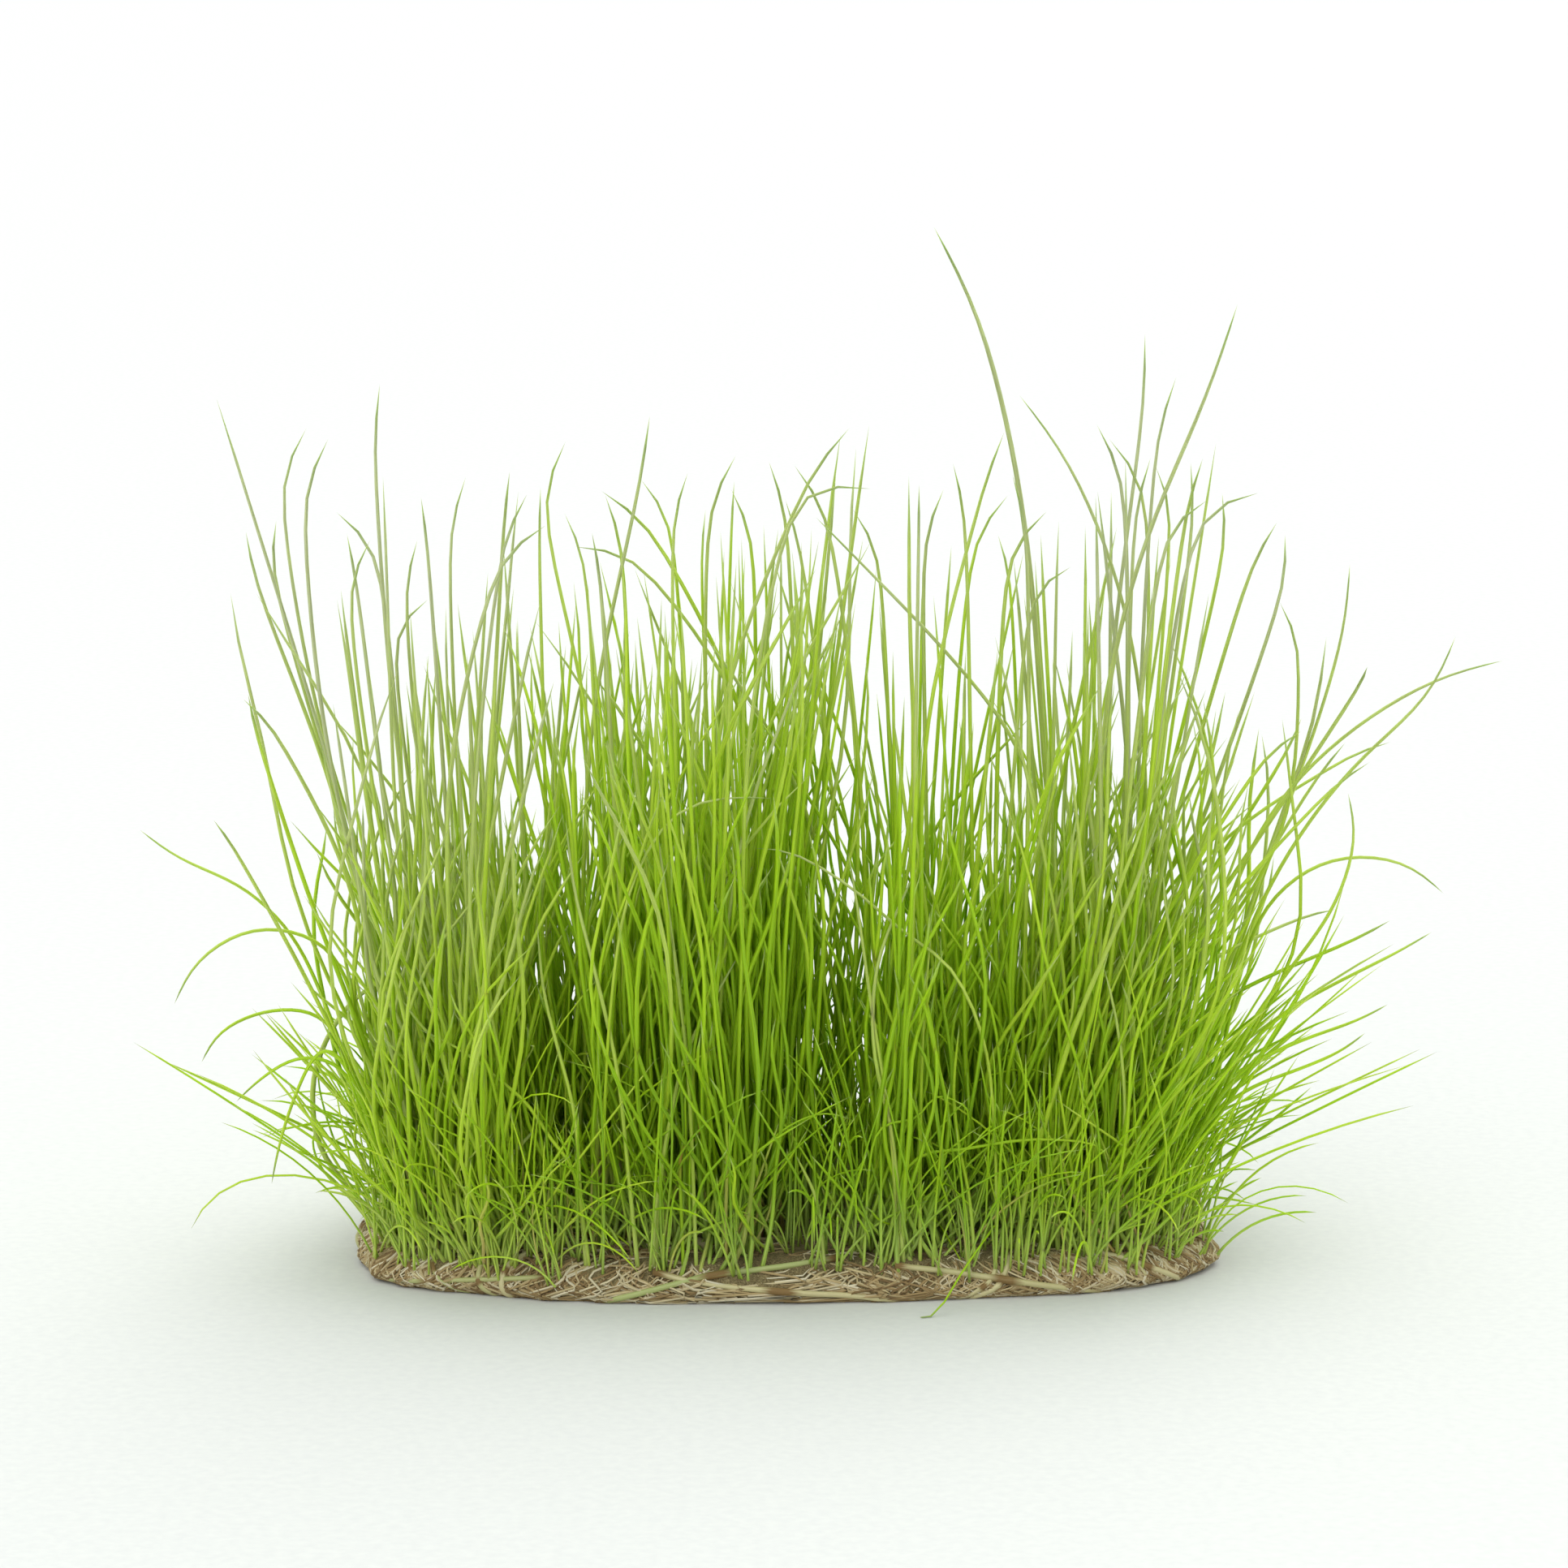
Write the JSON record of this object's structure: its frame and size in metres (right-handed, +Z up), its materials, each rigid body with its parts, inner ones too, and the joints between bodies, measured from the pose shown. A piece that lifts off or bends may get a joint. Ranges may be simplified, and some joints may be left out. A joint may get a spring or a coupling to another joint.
{
  "type": "dwarf hairgrass",
  "caption": "Wide low tuft of thread-thin upright green stems rising in close shoots from a flat trimmed mat of runners and roots, on which it stands.",
  "frame": {"origin": "middle of the flat trimmed underside of the runner mat", "axes": "+Z up, +X along the long side of the tuft to the viewer's right, +Y away from the viewer"},
  "size_m": [0.1347, 0.0663, 0.1013],
  "materials": {
    "shoots": "satin translucent green plant tissue",
    "lone_stems": "satin translucent light green plant tissue",
    "runner_mat": "matt pale tan fibres"
  },
  "bodies": {
    "root": {"runner_mat": "runner_mat", "shoot_01": "shoots", "shoot_02": "shoots", "shoot_03": "shoots", "shoot_04": "shoots", "shoot_05": "shoots", "shoot_06": "shoots", "shoot_07": "shoots", "shoot_08": "shoots", "shoot_09": "shoots", "shoot_10": "shoots", "shoot_11": "shoots", "shoot_12": "shoots", "shoot_13": "shoots", "shoot_14": "shoots", "shoot_15": "shoots", "shoot_16": "shoots", "shoot_17": "shoots", "shoot_18": "shoots", "shoot_19": "shoots", "shoot_20": "shoots", "shoot_21": "shoots", "shoot_22": "shoots", "shoot_23": "shoots", "shoot_24": "shoots", "shoot_25": "shoots", "shoot_26": "shoots", "shoot_27": "shoots", "shoot_28": "shoots", "shoot_29": "shoots", "shoot_30": "shoots", "shoot_31": "shoots", "shoot_32": "shoots", "shoot_33": "shoots", "shoot_34": "shoots", "shoot_35": "shoots", "shoot_36": "shoots", "shoot_37": "shoots", "shoot_38": "shoots", "shoot_39": "shoots", "shoot_40": "shoots", "shoot_41": "shoots", "shoot_42": "shoots", "tallest_stem": "lone_stems", "left_reaching_stem": "lone_stems", "left_drooping_stem_1": "lone_stems", "left_drooping_stem_2": "lone_stems", "left_drooping_stem_3": "lone_stems", "left_drooping_stem_4": "lone_stems", "leaning_middle_stem": "lone_stems", "arched_right_stem": "lone_stems", "tall_right_stem": "lone_stems", "right_stem_1": "lone_stems", "right_stem_2": "lone_stems", "right_stem_3": "lone_stems", "right_arching_stem_1": "lone_stems", "right_arching_stem_2": "lone_stems", "right_arching_stem_3": "lone_stems", "right_arching_stem_4": "lone_stems", "right_arching_stem_5": "lone_stems"}
  },
  "joints": []
}
